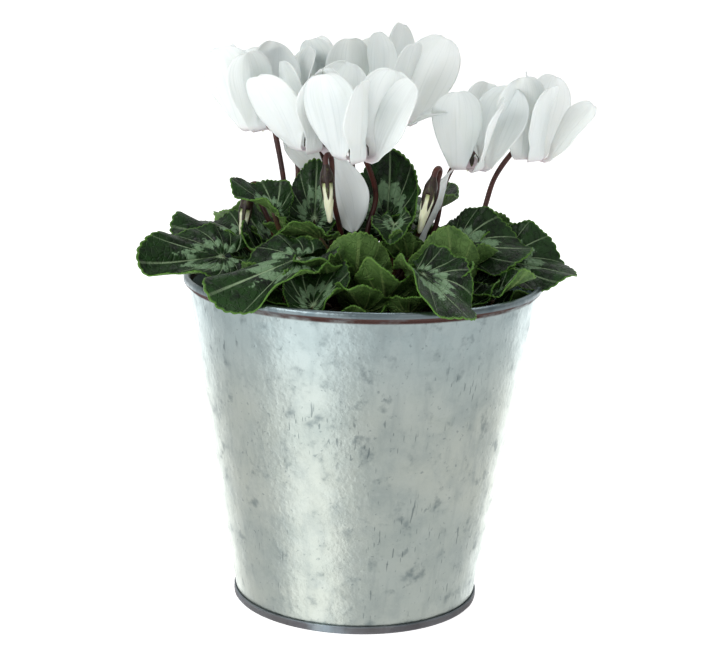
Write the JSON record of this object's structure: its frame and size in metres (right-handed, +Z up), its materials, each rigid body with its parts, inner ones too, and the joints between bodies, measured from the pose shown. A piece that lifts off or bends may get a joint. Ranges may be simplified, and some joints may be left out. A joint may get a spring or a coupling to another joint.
{
  "type": "potted cyclamen",
  "caption": "White-flowered cyclamen with toothed, silver-marked leaves and hanging buds, growing from its tuber in a tapered galvanised sheet pot with a rolled rim.",
  "frame": {"origin": "centre of the pot's flat underside, on the pot's axis", "axes": "+Z up along the pot's axis, -Y the front of the plant, +X its right-hand side"},
  "size_m": [0.1859, 0.1544, 0.2379],
  "materials": {
    "pot": "weathered galvanised zinc sheet, satin",
    "base": "dull dark zinc sheet with rust",
    "compost": "damp crumbly compost",
    "tuber": "corky brown skin",
    "leaf": "waxy green with silver marks",
    "stem": "satin red-brown",
    "petal": "matt white, slightly see-through",
    "bud": "matt cream"
  },
  "bodies": {
    "root": {"bud_1_petals": "bud", "bud_1_stem": "stem", "bud_2_petals": "bud", "bud_2_stem": "stem", "bud_3_petals": "bud", "bud_3_stem": "stem", "compost": "compost", "flower_1_petals": "petal", "flower_1_stem": "stem", "flower_2_petals": "petal", "flower_2_stem": "stem", "flower_3_petals": "petal", "flower_3_stem": "stem", "flower_4_petals": "petal", "flower_4_stem": "stem", "flower_5_petals": "petal", "flower_5_stem": "stem", "flower_6_petals": "petal", "flower_6_stem": "stem", "flower_7_petals": "petal", "flower_7_stem": "stem", "flower_8_petals": "petal", "flower_8_stem": "stem", "leaf_01": "leaf", "leaf_02": "leaf", "leaf_03": "leaf", "leaf_04": "leaf", "leaf_05": "leaf", "leaf_06": "leaf", "leaf_07": "leaf", "leaf_08": "leaf", "leaf_09": "leaf", "leaf_10": "leaf", "leaf_11": "leaf", "leaf_12": "leaf", "leaf_13": "leaf", "leaf_14": "leaf", "leaf_15": "leaf", "leaf_16": "leaf", "leaf_17": "leaf", "leaf_18": "leaf", "leaf_19": "leaf", "leaf_20": "leaf", "leaf_21": "leaf", "leaf_22": "leaf", "leaf_23": "leaf", "leaf_24": "leaf", "leaf_25": "leaf", "leaf_26": "leaf", "leaf_27": "leaf", "leaf_28": "leaf", "leaf_29": "leaf", "pot_base": "base", "pot_wall": "pot", "tuber": "tuber"}
  },
  "joints": []
}
